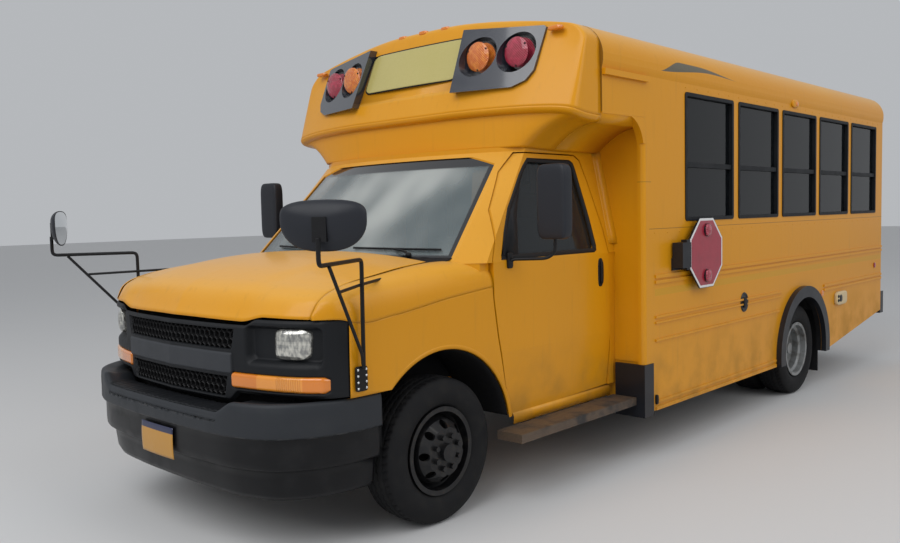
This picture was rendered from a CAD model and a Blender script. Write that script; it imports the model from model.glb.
"""The looks of the short school bus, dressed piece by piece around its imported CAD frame. Metres, Z up.

X points to the driver's side and Y to the rear. The file follows the bus as it is put together, and each
section holds one piece's sizes, finishes and surfaces.
"""

import bmesh
import bpy
import numpy as np
from mathutils import Matrix


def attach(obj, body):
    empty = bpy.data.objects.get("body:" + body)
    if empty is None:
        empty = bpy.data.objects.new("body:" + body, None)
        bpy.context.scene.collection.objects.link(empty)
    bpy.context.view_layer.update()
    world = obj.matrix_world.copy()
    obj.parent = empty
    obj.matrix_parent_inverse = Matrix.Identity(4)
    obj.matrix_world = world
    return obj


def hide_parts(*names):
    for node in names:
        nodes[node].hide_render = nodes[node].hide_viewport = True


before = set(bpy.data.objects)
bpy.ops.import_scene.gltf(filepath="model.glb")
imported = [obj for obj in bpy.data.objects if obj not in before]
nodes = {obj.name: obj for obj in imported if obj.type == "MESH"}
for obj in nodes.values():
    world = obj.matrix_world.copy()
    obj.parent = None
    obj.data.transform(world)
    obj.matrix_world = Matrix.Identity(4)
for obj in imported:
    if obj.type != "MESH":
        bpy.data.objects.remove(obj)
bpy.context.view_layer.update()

# Camera: a phone held at head height off the driver's front corner, level but for a slight tilt of the hand.
# All places along the bus are given from the front axle, which lies at AXLE.
AXLE = -2.585
EYE = (3.860, AXLE - 2.994, 1.542)
YAW, PITCH, ROLL = 43.16, -3.86, -1.26
FOCAL = 850.1 / 900
SENSOR = 36

yaw, pitch, roll = np.radians((YAW, PITCH, ROLL))
ahead = np.array([-np.sin(yaw) * np.cos(pitch), np.cos(yaw) * np.cos(pitch), np.sin(pitch)])
level = np.array([np.cos(yaw), np.sin(yaw), 0])
lift = np.cross(level, ahead)
right = level * np.cos(roll) + lift * np.sin(roll)
up = lift * np.cos(roll) - level * np.sin(roll)
camera = bpy.data.objects.new("camera", bpy.data.cameras.new("camera"))
camera.data.sensor_width = SENSOR
camera.data.lens = SENSOR * FOCAL
camera.data.clip_end = 200
camera.matrix_world = Matrix([[*row, place] for row, place in zip(np.stack([right, up, -ahead], 1), EYE)]
                             + [[0, 0, 0, 1]])
bpy.context.scene.collection.objects.link(camera)
bpy.context.scene.camera = camera
bpy.context.scene.view_settings.view_transform = "Standard"

# Body paint: deep yellow enamel on steel and moulded panels. It is chalked on the surfaces that face the sky
# and dulled by a brown road film low on the sides. Like every finish here, it is a small tree of nodes.
YELLOW = (0.68, 0.285, 0.004)
CHALK = (0.78, 0.42, 0.075)
FILM = (0.30, 0.16, 0.035)
DULL = {"Specular_IOR_Level": 0.25}


class Value:
    """One number inside a finish. A sum, difference or product of Values is one more maths node."""

    def __init__(self, finish, socket):
        self.finish, self.socket = finish, socket

    def maths(self, operation, *others):
        """A maths node's operation on this value and the others."""
        inputs = dict(enumerate((self,) + others))
        return self.finish.node("ShaderNodeMath", {"operation": operation}, inputs)

    def __add__(self, other):
        return self.maths("ADD", other)

    def __mul__(self, other):
        return self.maths("MULTIPLY", other)

    def __sub__(self, other):
        return self.maths("SUBTRACT", other)

    def __rsub__(self, other):
        return (self * -1) + other

    __radd__ = __add__
    __rmul__ = __mul__

    def within(self, low, high):
        """0 at low and 1 at high, smoothly between."""
        return self.finish.node("ShaderNodeMapRange", {"interpolation_type": "SMOOTHSTEP"},
                                {0: self, 1: low, 2: high})

    def band(self, low, high, soft=0.004):
        """1 between low and high, 0 outside, with soft edges."""
        return self.within(low - soft, low + soft) * (1 - self.within(high - soft, high + soft))


class Finish:
    """A material under construction, with its main shader."""

    def __init__(self, name, colour=YELLOW, roughness=0.5, metallic=0.0, **sockets):
        self.material = bpy.data.materials.new(name)
        self.material.use_nodes = True
        self.tree = self.material.node_tree
        self.shader = self.tree.nodes["Principled BSDF"]
        self.set("Base Color", colour)
        self.set("Roughness", roughness)
        self.set("Metallic", metallic)
        for socket, value in sockets.items():
            self.set(socket.replace("_", " "), value)

    def set(self, socket, value):
        """Feed one of the main shader's sockets."""
        self.put(self.shader.inputs[socket], value)

    def put(self, socket, value):
        """Link a Value to a socket, or write a plain colour or number there."""
        if isinstance(value, Value):
            self.tree.links.new(value.socket, socket)
        elif isinstance(value, tuple) and len(value) == 3 and socket.type == "RGBA":
            socket.default_value = (*value, 1)
        else:
            socket.default_value = value

    def node(self, kind, settings, inputs, out=0):
        """Any node: its settings first, then its inputs, and the output that is asked for."""
        made = self.tree.nodes.new(kind)
        for key, value in settings.items():
            setattr(made, key, value)
        for key, value in inputs.items():
            self.put(made.inputs[key], value)
        return Value(self, made.outputs[out])

    def place(self, scale=(1, 1, 1)):
        """The point of the bus that is being shaded, in metres, stretched along the axes."""
        at = self.node("ShaderNodeTexCoord", {}, {}, "Object")
        return at if scale == (1, 1, 1) else self.node("ShaderNodeMapping", {}, {"Vector": at, "Scale": scale})

    def axis(self, name):
        """How far along an axis the point is; along the bus it is measured from the front axle."""
        value = self.node("ShaderNodeSeparateXYZ", {}, {0: self.place()}, name)
        return value - AXLE if name == "Y" else value

    def noise(self, scale, detail=2.0, stretch=(1, 1, 1)):
        """A cloudy 0 to 1 with that many lumps to the metre."""
        return self.node("ShaderNodeTexNoise", {}, {"Vector": self.place(stretch), "Scale": scale,
                                                    "Detail": detail}, "Fac")

    def mix(self, amount, first, second):
        """The first colour where the amount is 0, the second where it is 1."""
        return self.node("ShaderNodeMix", {"data_type": "RGBA"}, {0: amount, 6: first, 7: second}, 2)

    def colour(self, amount, first, second):
        """The base colour, mixed from two."""
        self.set("Base Color", self.mix(amount, first, second))

    def bump(self, height, depth):
        """Raise the surface by height times depth, in metres."""
        self.set("Normal", self.node("ShaderNodeBump", {}, {"Height": height, "Distance": depth}))


def enamel(name):
    """Yellow paint. The chalk is a face's upward slope times a broad noise, the film is nearness to the road
    times a finer noise, and rain runs are a noise drawn out downwards."""
    made = Finish(name, Coat_Weight=0.12, Coat_Roughness=0.1, **DULL)
    height = made.axis("Z")
    normal = made.node("ShaderNodeNewGeometry", {}, {}, "Normal")
    facing = made.node("ShaderNodeSeparateXYZ", {}, {0: normal}, "Z")
    mottle = made.noise(1.3, 4)
    sunned = facing.within(0.15, 0.95) * (0.55 + mottle * 0.5) + mottle.within(0.4, 0.8) * 0.12
    film = (1 - height.within(0.28, 0.95)) * made.noise(5, 4).within(0.35, 0.75)
    runs = made.noise(9, 3, (3.0, 3.0, 0.25)).within(0.55, 0.85) * 0.16
    made.colour(film * 0.6 + runs, made.mix(sunned * 0.75, YELLOW, CHALK), FILM)
    made.set("Roughness", 0.28 + film * 0.35 + mottle * 0.12)
    made.bump(made.noise(30, 2), 0.0007)
    return made


def wear(finish, *finished):
    """Give CAD nodes a finish."""
    for node in finished:
        nodes[node].data.materials.clear()
        nodes[node].data.materials.append(finish.material)


paint = enamel("yellow_enamel")
wear(paint, "cab_shell", "driver_door", "kerb_cab_panel")

# Bonnet: one pressed steel lid, crowned, with a soft raised centre. Its skin turns down at the front over the
# grille, and it is hinged at the foot of the windscreen. The rows are (y, half width, edge and crown height).
HOOD_ROWS = ((0.060, 0.829, 1.303, 1.348), (-0.170, 0.846, 1.283, 1.330), (-0.347, 0.862, 1.260, 1.309),
             (-0.481, 0.876, 1.243, 1.285), (-0.560, 0.885, 1.226, 1.262), (-0.649, 0.895, 1.198, 1.226),
             (-0.700, 0.902, 1.163, 1.192), (-0.742, 0.900, 1.096, 1.142))
HOOD_BACK, HOOD_LENGTH = 0.060, 0.802
NOSE_LINE = ((0.0, -0.911), (0.480, -0.872), (0.700, -0.826), (0.810, -0.788), (0.905, -0.732),
             (0.962, -0.668), (0.985, -0.590))
SHEET = 0.0015


def piece(name, corners, faces, finish, body, smooth=True, thick=0.0, instead=()):
    """A mesh from corners and faces, which rides on a body and stands for the CAD nodes named.

    Its places along the bus are given from the front axle, so the mesh is moved by AXLE.
    """
    mesh = bpy.data.meshes.new(name)
    mesh.from_pydata((np.asarray(corners) + (0, AXLE, 0)).tolist(), [], np.asarray(faces).tolist())
    shape = bmesh.new()
    shape.from_mesh(mesh)
    bmesh.ops.remove_doubles(shape, verts=shape.verts, dist=1e-6)
    shape.to_mesh(mesh)
    shape.free()
    mesh.polygons.foreach_set("use_smooth", [smooth] * len(mesh.polygons))
    mesh.materials.append(finish.material)
    made = bpy.data.objects.new(name, mesh)
    bpy.context.scene.collection.objects.link(made)
    if thick:
        wall = made.modifiers.new("thickness", "SOLIDIFY")
        wall.thickness, wall.offset = thick, -1
    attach(made, body)
    if instead:
        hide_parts(*instead)
    return made


def quads(rows, columns, round_u=False, round_v=False):
    """The faces of a grid, each joining four neighbours, closed round along u or v where asked."""
    i = np.arange(rows if round_u else rows - 1)[:, None]
    j = np.arange(columns if round_v else columns - 1)[None, :]
    i1, j1 = (i + 1) % rows, (j + 1) % columns
    return np.stack(np.broadcast_arrays(i * columns + j, i1 * columns + j, i1 * columns + j1,
                                        i * columns + j1), -1)


def surface(name, points, finish, body, slot, round_u=False, round_v=False, smooth=True, flip=False, thick=0.0,
            instead=()):
    """A skin over a grid of points: rows along u, columns along v, closed round either where asked.

    Points that fall together, as at a pole, are joined. A thickness grows inwards, behind the skin.
    """
    points = np.asarray(points, float)
    faces = quads(*points.shape[:2], round_u, round_v).reshape(-1, 4)
    return piece(name, points.reshape(-1, 3), faces[:, ::-1] if flip else faces, finish, body, smooth,
                 thick, instead)


def points_at(x, y, z):
    """A grid of places from three arrays, each repeated along the rows or columns that it lacks."""
    return np.stack(np.broadcast_arrays(x, y, z), -1)


def flowing(table, at):
    """Rows of a table followed as one smooth line: the first column is the place, and each span is a cubic
    whose end slopes are the mean slopes there."""
    table = np.array(table, float)
    table = table[np.argsort(table[:, 0])]
    place, values = table[:, 0], table[:, 1:]
    slopes = np.gradient(values, place, axis=0)
    k = np.clip(np.searchsorted(place, at) - 1, 0, len(place) - 2)
    span = (place[k + 1] - place[k])[..., None]
    t = ((at - place[k])[..., None]) / span
    return (values[k] * (1 + 2 * t) * (1 - t) ** 2 + values[k + 1] * t * t * (3 - 2 * t)
            + span * (slopes[k] * t * (1 - t) ** 2 - slopes[k + 1] * t * t * (1 - t)))


def step(value, low, high):
    """0 below low and 1 above high: three t squared less two t cubed between."""
    t = np.clip((value - low) / (high - low), 0, 1)
    return t * t * (3 - 2 * t)


def nose_y(x):
    """How far forward the nose's bowed front lies, by the cubic line through its plan."""
    return flowing(NOSE_LINE, np.abs(x))[..., 0]


along = np.linspace(0, 1, 90)[:, None]
across = np.linspace(-1, 1, 121)[None, :]
side_y = HOOD_BACK - HOOD_LENGTH * along
half, edge, crown = np.moveaxis(flowing(HOOD_ROWS, side_y[:, 0]), -1, 0)[:, :, None]
x = half * across
front_y = nose_y(x[-1])[None] + 0.010 + 0.022 * (1 - across ** 2)
y = HOOD_BACK + along * (front_y - HOOD_BACK)
dip = step(along, 0.80, 1.0) ** 2
bow = (1 - np.abs(across) ** 2.3) * (crown - edge) * (1 - dip) + dip * 0.010 * (1 - across ** 2)
crease = 0.010 * step(np.abs(across), 0.78 - 0.16 * along, 0.58 - 0.10 * along) * np.sin(np.pi * along ** 0.8)
lowered = 0.028 * (1 - step(np.abs(x), 0.52, 0.68)) * step(along, 0.90, 1.0)
surface("hood_skin", points_at(x, y, edge + bow + crease - lowered), paint, "bonnet", "body_yellow", flip=True,
        thick=SHEET, instead=["hood"])

# Front wings: pressed steel, rolled over at the top towards the bonnet, with a raised lip round the wheel
# arch and a dark liner inside it. Each is bolted behind the headlamp bezel and ends at the door's front edge.
ARCH_R, WHEEL_Z = 0.510, 0.368
# Rows of (y, inner x, inner z, outer x, outer z) along the top, and of (z, y) down the door's front edge.
WING_TOP = ((-0.732, 0.904, 1.106, 0.908, 1.094), (-0.700, 0.908, 1.160, 0.940, 1.094),
            (-0.668, 0.906, 1.186, 0.966, 1.094), (-0.625, 0.900, 1.206, 0.984, 1.090),
            (-0.590, 0.896, 1.217, 0.991, 1.080), (-0.530, 0.889, 1.232, 0.996, 1.068),
            (-0.347, 0.868, 1.255, 1.000, 1.080), (0.060, 0.836, 1.298, 1.001, 1.130),
            (0.377, 0.842, 1.296, 1.001, 1.160))
DOOR_EDGE = ((1.090, 0.382), (0.890, 0.414), (0.623, 0.474), (0.500, 0.516), (0.445, 0.530))
WING_BACK, WING_FRONT, WING_FOOT, WING_HEEL = 0.377, -0.592, 0.738, 0.445
ARCH_FOOT = 0.351
LINER_IN, LINER_OUT, SPLASH_FOOT = 0.640, 0.984, 0.640


def pair(name, points, finish, slot, flip=False, body="bus", instead=(), **shaped):
    """The same skin on both sides. The left one is as given, and may ride on a door and stand for a CAD node.
    The right one has x turned round and its faces the other way, and rides on the bus."""
    for side, hand, rides, gone in ((1, "left", body, instead), (-1, "right", "bus", ())):
        surface(f"{name}_{hand}", points * (side, 1, 1), finish, rides, slot, flip=flip == (side > 0),
                instead=gone, **shaped)


def mottled(name, colour, smooth, spread, scale, detail=2, **sockets):
    """A finish whose roughness is smooth plus spread times a noise."""
    made = Finish(name, colour, **sockets)
    made.set("Roughness", smooth + made.noise(scale, detail) * spread)
    return made


def wing_x(y, z):
    """How far out the wing's side stands: under its shoulder, and drawn in a little towards its foot."""
    shoulder_x = np.interp(y, [row[0] for row in WING_TOP], [row[3] for row in WING_TOP])
    return shoulder_x - 0.008 * step(0.85 - z, 0, 0.4)


def measured(line):
    """How far along a line each of its points lies: the running sum of the lengths between them."""
    return np.concatenate([[0], np.cumsum(np.linalg.norm(np.diff(line, axis=0), axis=1))])


rows = np.concatenate([np.linspace(-0.732, -0.56, 26), np.linspace(-0.55, WING_BACK, 50)])
inner_x, inner_z, outer_x, outer_z = np.moveaxis(flowing(WING_TOP, rows), -1, 0)[:, :, None]
turn = np.linspace(0, np.pi / 2, 24)[None, :]
wing_top = points_at(inner_x + (outer_x - inner_x) * np.sin(turn) ** 0.9, rows[:, None],
                     outer_z + (inner_z - outer_z) * np.cos(turn) ** 0.9)
angle = np.concatenate([[0.0], np.linspace(0, 1, 70)])
start = np.arctan2(WING_FOOT - WHEEL_Z, ARCH_FOOT)
end = np.pi - np.arcsin((WING_HEEL - WHEEL_Z) / ARCH_R)
bearing = start + (end - start) * angle
arch = np.stack([-ARCH_R * np.cos(bearing), WHEEL_Z + ARCH_R * np.sin(bearing)], -1)
shoulder_y = np.linspace(-0.590, WING_BACK, 40)
shoulder = np.column_stack([shoulder_y, flowing(WING_TOP, shoulder_y)[:, 3]])
rim_line = np.concatenate([[(WING_FRONT, WING_FOOT), (WING_FRONT, 0.90)], shoulder,
                           [(y, z) for z, y in DOOR_EDGE]])
run = measured(rim_line)
rim_at = np.linspace(0, run[-1], len(arch))
outer = np.stack([np.interp(rim_at, run, rim_line[:, k]) for k in (0, 1)], -1)
spread = np.linspace(0, 1, 28)[None, :, None]
wing_yz = arch[:, None] * (1 - spread) + outer[:, None] * spread
wing_side = np.concatenate([wing_x(wing_yz[..., :1], wing_yz[..., 1:]), wing_yz], -1)
curl = np.linspace(0, 2 * np.pi, 13)[None, :]
around = bearing[:, None]
reach = ARCH_R + 0.012 + 0.013 * np.cos(curl)
fade = np.sin(np.pi * np.clip(angle, 0.002, 0.998))[:, None] ** 0.25
arch_lip = points_at(0.994 + 0.010 * fade * np.sin(curl), -reach * np.cos(around),
                     WHEEL_Z + reach * np.sin(around))
foot = np.array([[(wing_x(y, WING_FOOT), y, WING_FOOT), (0.96, y, 0.734)] for y in (WING_FRONT, -ARCH_FOOT)])
liner = mottled("wheelhouse_liner", (0.008, 0.008, 0.009), 0.7, 0.25, 20, 3, Specular_IOR_Level=0.2)
liner_at = np.linspace(start + 0.02, end - 0.02, 60)[:, None]
liner_r = ARCH_R - 0.002
house = points_at(np.linspace(LINER_IN, LINER_OUT, 8)[None, :], -liner_r * np.cos(liner_at),
                  WHEEL_Z + liner_r * np.sin(liner_at))
arc = house[:, 0]
hangs = np.minimum(SPLASH_FOOT, arc[:, 2]) - arc[:, 2]
wall = np.stack([np.column_stack([arc[:, :2], arc[:, 2] + drop * hangs]) for drop in (0.0, 0.5, 1.0)], 1)
pair("wheelhouse", house, liner, "black_plastic", flip=True, thick=0.002)
pair("splash_wall", wall, liner, "black_plastic", flip=True, thick=0.002)
pair("wing_top", wing_top, paint, "body_yellow", thick=SHEET, instead=["fenders"])
pair("wing_side", wing_side, paint, "body_yellow", thick=SHEET)
pair("wing_arch_lip", arch_lip, paint, "body_yellow", flip=True, round_v=True)
pair("wing_foot", foot, paint, "body_yellow")

# Nose: one black plastic moulding of grille frame, charcoal cross bar and lamp bays, clipped to the front. It
# is a bowed sheet pushed back by rounded pockets, each worked out from the distance to its rounded box.
PLASTIC, CHARCOAL = (0.007, 0.008, 0.010), (0.038, 0.041, 0.047)
BAR_LOW, BAR_HIGH, BAR_HALF = 0.832, 0.930, 0.486
NOSE_HALF, POCKET = 0.985, 0.055
bezel = mottled("charcoal_and_black_nose", PLASTIC, 0.42, 0.2, 14, 3, **DULL)
ends = bezel.axis("X").maths("ABSOLUTE").within(BAR_HALF - 0.008, BAR_HALF)
bezel.colour(bezel.axis("Z").band(BAR_LOW, BAR_HIGH, 0.003) * (1 - ends), PLASTIC, CHARCOAL)
bezel.bump(bezel.noise(700, 2), 0.0004)


def boxed(x, z, x0, x1, z0, z1, radius):
    """Distance out from a rounded box's edge, below zero inside: the length of what lies beyond the box drawn
    in by the radius, less the radius."""
    dx = np.abs(x - (x0 + x1) / 2) - (x1 - x0) / 2 + radius
    dz = np.abs(z - (z0 + z1) / 2) - (z1 - z0) / 2 + radius
    return np.hypot(np.maximum(dx, 0), np.maximum(dz, 0)) + np.minimum(np.maximum(dx, dz), 0) - radius


def grille_half(z):
    """Half the grille's width at a height: it narrows downwards by 0.22 of the drop."""
    return 0.524 - (1.056 - z) * 0.22


def slot_hole(x, z, low, high, inset):
    """Distance out from a grille opening between two heights, whose ends lean with the grille."""
    return np.maximum(np.maximum(low - z, z - high), x - (grille_half(z) - inset))


across = np.sin(np.linspace(-np.pi / 2, np.pi / 2, 401)) * 0.35 + np.linspace(-1, 1, 401) * 0.65
x = NOSE_HALF * across[:, None]
off = np.abs(x)
v = np.linspace(0, 1, 92)[None, :]
low = 0.700 + 0.045 * step(off, 0.452, 0.520)
high = 1.060 + 0.030 * step(off, 0.560, 0.640)
z = low + v * (high - low)
lamp_bay = boxed(off, z, 0.566, 0.945, 0.872, 1.066, 0.030)
signal_bay = boxed(off, z, 0.478, 0.958, 0.766, 0.846, 0.012)
groove = boxed(off, z, -0.49, BAR_HALF, BAR_LOW, BAR_HIGH, 0.010)
deep = (POCKET * step(-slot_hole(off, z, 0.944, 1.040, 0.020), 0.0, 0.006)
        + POCKET * step(-slot_hole(off, z, 0.722, 0.817, 0.024), 0.0, 0.006)
        + 0.040 * step(-lamp_bay, 0.0, 0.022 + 0.05 * step(BAR_HIGH - z, 0, 0.05))
        + 0.012 * step(-signal_bay, 0.0, 0.005) - 0.007 * step(-groove, 0.0, 0.007)
        + 0.020 * (1 - step(v, 0.0, 0.05)) + 0.010 * step(v, 0.96, 1.0))
shell = points_at(x, nose_y(x) + deep * (1 - step(off, 0.955, NOSE_HALF)) + 0.004, z)
surface("nose_moulding", shell, bezel, "bus", "black_plastic", thick=0.003, instead=["nose_panel"])

# Grille inserts: black honeycomb screens behind the frame. Each cell is a six-sided tube of three rings, and
# the cells are repeated in rows, every other one moved along by half a cell.
CELL = 0.0215
ACROSS_FLATS = 1.732
ROW_GAP = CELL * 1.5
CELL_RINGS = ((CELL * 1.01, 0.020), (CELL * 0.80, 0.014), (CELL * 0.78, 0.034))
screen = mottled("black_honeycomb", (0.012, 0.012, 0.013), 0.35, 0.25, 50, **DULL)
hexagon = np.radians(np.arange(6) * 60 + 30)


def six_sided(count):
    """Faces for that many shapes of three rings of six corners: one band joins each ring to the next."""
    k = np.arange(6)
    band = np.stack([k, (k + 1) % 6, (k + 1) % 6 + 6, k + 6], -1)[None]
    first = np.arange(count)[:, None, None] * 18
    return np.concatenate([(first + band).reshape(-1, 4), (first + band + 6).reshape(-1, 4)])


for name, low_z, high_z, gone in (("upper", 0.944, 1.040, ["grille_mesh"]), ("lower", 0.722, 0.817, ())):
    levels = np.arange(int((high_z - low_z) / ROW_GAP) + 2)[None, :]
    cx, cz = np.broadcast_arrays((np.arange(-21, 22)[:, None] + 0.5 * (levels % 2)) * CELL * ACROSS_FLATS,
                                 low_z + levels * ROW_GAP)
    keep = np.abs(cx) < grille_half(cz) - 0.012
    cx, cz = cx[keep][:, None], cz[keep][:, None]
    corners = []
    for size, back in CELL_RINGS:
        px = cx + size * np.cos(hexagon)
        pz = np.clip(cz + size * np.sin(hexagon), low_z - 0.002, high_z + 0.002)
        corners.append(np.stack([px, nose_y(px) + back, pz], -1))
    piece(f"grille_screen_{name}", np.stack(corners, 1).reshape(-1, 3), six_sided(len(cx)), screen, "bus",
          smooth=False, instead=gone)

# Radiator and slam panel: the dark finned core and its carrier that fill the nose behind the screens.
core = mottled("radiator_core", (0.010, 0.010, 0.011), 0.5, 0.3, 30, 3, **DULL)
core.bump((core.axis("X") * 900).maths("SINE"), 0.002)
rx, rz = np.meshgrid(np.linspace(-0.93, 0.93, 60), np.linspace(0.46, 1.10, 12), indexing="ij")
swept = 0.105 + 0.05 * step(rz, 1.02, 1.10) + 0.25 * step(np.abs(rx), 0.7, 0.93)
surface("radiator_core", points_at(rx, nose_y(rx) + swept, rz), core, "bus", "black_plastic", thick=0.012)

# Headlamps: an upright rounded lens over a bright reflector, set in the black bay. Its outline is a circle of
# the fifth power, and its face a dome of one less the cube of the way out.
lens = Finish("headlamp_lens", (0.62, 0.62, 0.60), 0.08, 0.75, Coat_Weight=1.0, Coat_Roughness=0.03)
glints = lens.noise(70, 3, (1, 1, 0.4))
lens.colour(glints.within(0.35, 0.7), (0.26, 0.26, 0.25), (0.74, 0.72, 0.64))
lens.set("Roughness", 0.06 + glints * 0.22)
lens.bump((lens.axis("Z") * 190).maths("SINE") * 0.4 + glints * 0.6, 0.002)


def circle(count, fills):
    """Angles down the rows of a round grid, and ways out from its middle along the columns."""
    return np.linspace(0, 2 * np.pi, count, endpoint=False)[:, None], np.array(fills, float)[None, :]


turn, fill = circle(72, [*np.linspace(0, 0.9, 12), *np.linspace(0.93, 1.0, 5), 1.0])
squared = fill * (np.abs(np.cos(turn)) ** 5 + np.abs(np.sin(turn)) ** 5) ** (-1 / 5)
lx = 0.803 + squared * (0.078 * np.cos(turn) + 0.004 * np.sin(turn))
dome = 0.018 * (1 - fill ** 3)
dome[0, -1] -= 0.030
pair("headlamp", points_at(lx, nose_y(lx) + 0.022 - dome, 0.984 + 0.068 * squared * np.sin(turn)), lens,
     "clear_lens", flip=True, round_u=True, instead=["headlamps"])

# Turn signals: long amber lenses under the headlamps, with a ribbed brighter window towards the outer end.
amber = mottled("amber_signal_lens", (0.80, 0.25, 0.012), 0.10, 0.1, 30, Coat_Weight=1.0, Coat_Roughness=0.04)
out = amber.axis("X").maths("ABSOLUTE")
ribs = (out * 620).maths("SINE") * out.band(0.745, 0.860)
bright = out.band(0.640, 0.868, 0.003) * (0.45 + ribs * 0.25)
amber.colour(bright + amber.noise(25, 2) * 0.15, (0.70, 0.19, 0.006), (0.95, 0.40, 0.05))
amber.bump(ribs, 0.0015)
sx = np.linspace(0.482, 0.954, 120)[:, None]
sv = np.linspace(-1, 1, 26)[None, :]
tall = 0.0375 * (1 - 0.35 * step(sx, 0.935, 0.954)) * (1 - 0.12 * step(0.49 - sx, 0, 0.008))
soft = (1 - np.abs(sv) ** 8) * step(sx, 0.480, 0.486) * (1 - step(sx, 0.948, 0.956))
pair("turn_signal", points_at(sx, nose_y(sx) + 0.018 - 0.022 * soft, 0.806 + tall * sv), amber, "amber_lens",
     instead=["turn_signals"])

# Front bumper: a painted steel beam, grey with wear above its lip and black below, with a low step pad in
# the middle. One profile (out, height) is carried round a bowed plan, and its top drops at the pad.
BUMPER_LINE = np.array([(0.0, -1.008), (0.350, -1.000), (0.620, -0.968), (0.800, -0.892), (0.900, -0.780),
                        (0.958, -0.640), (0.982, -0.520), (0.985, -0.405)])
BUMPER_PROFILE = np.array([(-0.150, 0.716), (-0.060, 0.722), (-0.030, 0.733), (-0.014, 0.734), (-0.006, 0.729),
                           (-0.002, 0.718), (0.0, 0.690), (0.0, 0.662), (0.0, 0.628), (0.001, 0.590),
                           (-0.002, 0.580), (-0.016, 0.576), (-0.020, 0.570), (-0.020, 0.540), (-0.020, 0.470),
                           (-0.022, 0.440), (-0.034, 0.430), (-0.060, 0.424), (-0.064, 0.380), (-0.072, 0.310),
                           (-0.084, 0.286), (-0.110, 0.290)])
PAD_DROP = 0.052
bumper = Finish("scuffed_bumper", (0.03, 0.03, 0.035), **DULL)
above = bumper.axis("Z").within(0.572, 0.586)
rub = bumper.noise(7, 5).within(0.45, 0.85)
lip_line = bumper.axis("Z").band(0.574, 0.584, 0.003) * bumper.noise(30, 4).within(0.42, 0.62)
tone = bumper.mix(above, (0.005, 0.005, 0.006), (0.026, 0.029, 0.034))
bumper.colour(rub * 0.15 + lip_line * 0.5, tone, (0.085, 0.085, 0.085))
bumper.set("Roughness", 0.35 + rub * 0.3 + above * 0.1)
bumper.bump(bumper.noise(350, 2) * above, 0.0003)
trim = mottled("grained_black_plastic", PLASTIC, 0.40, 0.25, 14, 3, **DULL)
trim.colour(trim.noise(6, 5).within(0.42, 0.8) * 0.5, PLASTIC, (0.020, 0.021, 0.024))
trim.bump(trim.noise(700, 2), 0.0004)
run = measured(BUMPER_LINE)
plan = flowing(np.column_stack([run, BUMPER_LINE]), np.linspace(0, run[-1], 110))
plan[0] = BUMPER_LINE[0]
plan = np.concatenate([plan[:0:-1] * (-1, 1), plan])
tangent = np.gradient(plan, axis=0)
tangent /= np.linalg.norm(tangent, axis=1, keepdims=True)
outward = np.stack([tangent[:, 1], -tangent[:, 0]], -1)
level = BUMPER_PROFILE[None, :, 1]
lowered = PAD_DROP * (1 - step(np.abs(plan[:, :1]), 0.50, 0.62)) * step(level, 0.640, 0.700)
skin = np.concatenate([plan[:, None] + outward[:, None] * BUMPER_PROFILE[None, :, :1],
                       (level - lowered)[..., None]], -1)
surface("bumper_beam", skin, bumper, "bus", "black_paint", thick=0.004, flip=True, instead=["front_bumper"])
pad_x, pad_v = np.meshgrid(np.linspace(-0.56, 0.56, 90), np.linspace(0, 1, 14), indexing="ij")
pad_y = flowing(BUMPER_LINE, np.abs(pad_x))[..., 0] + 0.010 + pad_v * 0.120
pad_z = 0.684 + 0.004 * np.sin(pad_v * np.pi) + 0.004 * (np.sin(pad_x * 140) > 0)
surface("bumper_step_pad", points_at(pad_x, pad_y, pad_z), trim, "bus", "black_plastic", thick=0.006)

# Number plate: a plain amber plate with a dark blue band along its top, bolted to the bumper and dished
# forward in the middle by the square of the way to its edges.
PLATE_AMBER = (0.50, 0.24, 0.025)
plate = mottled("blank_plate", PLATE_AMBER, 0.35, 0.2, 40, 3, Coat_Weight=0.4)
plate.colour(plate.axis("Z").within(0.520, 0.524), PLATE_AMBER, (0.012, 0.016, 0.06))
px, pz = np.meshgrid(np.linspace(-1, 1, 25), np.linspace(-1, 1, 15), indexing="ij")
surface("number_plate", points_at(0.152 * px, -1.004 + 0.004 * (px ** 2 + pz ** 2), 0.476 + 0.076 * pz), plate,
        "bus", "body_yellow", thick=0.002)

# Crossview mirrors: black moulded bowls with bowed glass, each held over its wing by a bent tube, a strut and
# a clamp arm. The left one is worked out, and the right one is its mirror image.
TURNED = np.radians(33)
MIRROR_AT = (1.224, -0.902, 1.530)
POST = ((1.250, -0.951, 1.470), (1.250, -0.951, 1.352), (1.028, -0.541, 1.352), (1.022, -0.540, 0.860))
STRUT = ((1.222, -0.880, 1.350), (1.030, -0.552, 0.930), (1.024, -0.545, 0.880))
ARM = ((1.165, -0.790, 1.232), (1.023, -0.548, 1.240), (0.905, -0.315, 1.246))
WING_PLATE = (1.004, -0.540, 0.820)
BOTH = ((1, "left"), (-1, "right"))
tube_black = mottled("satin_black_tube", (0.008, 0.008, 0.009), 0.28, 0.3, 50, 3, **DULL)
mirror_back = mottled("moulded_mirror_back", (0.020, 0.022, 0.028), 0.34, 0.15, 12, 3, **DULL)
mirror_back.bump(mirror_back.noise(500, 2), 0.0003)
mirror_glass = mottled("mirror_glass", (0.75, 0.77, 0.78), 0.02, 0.03, 20, metallic=1.0)


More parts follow.
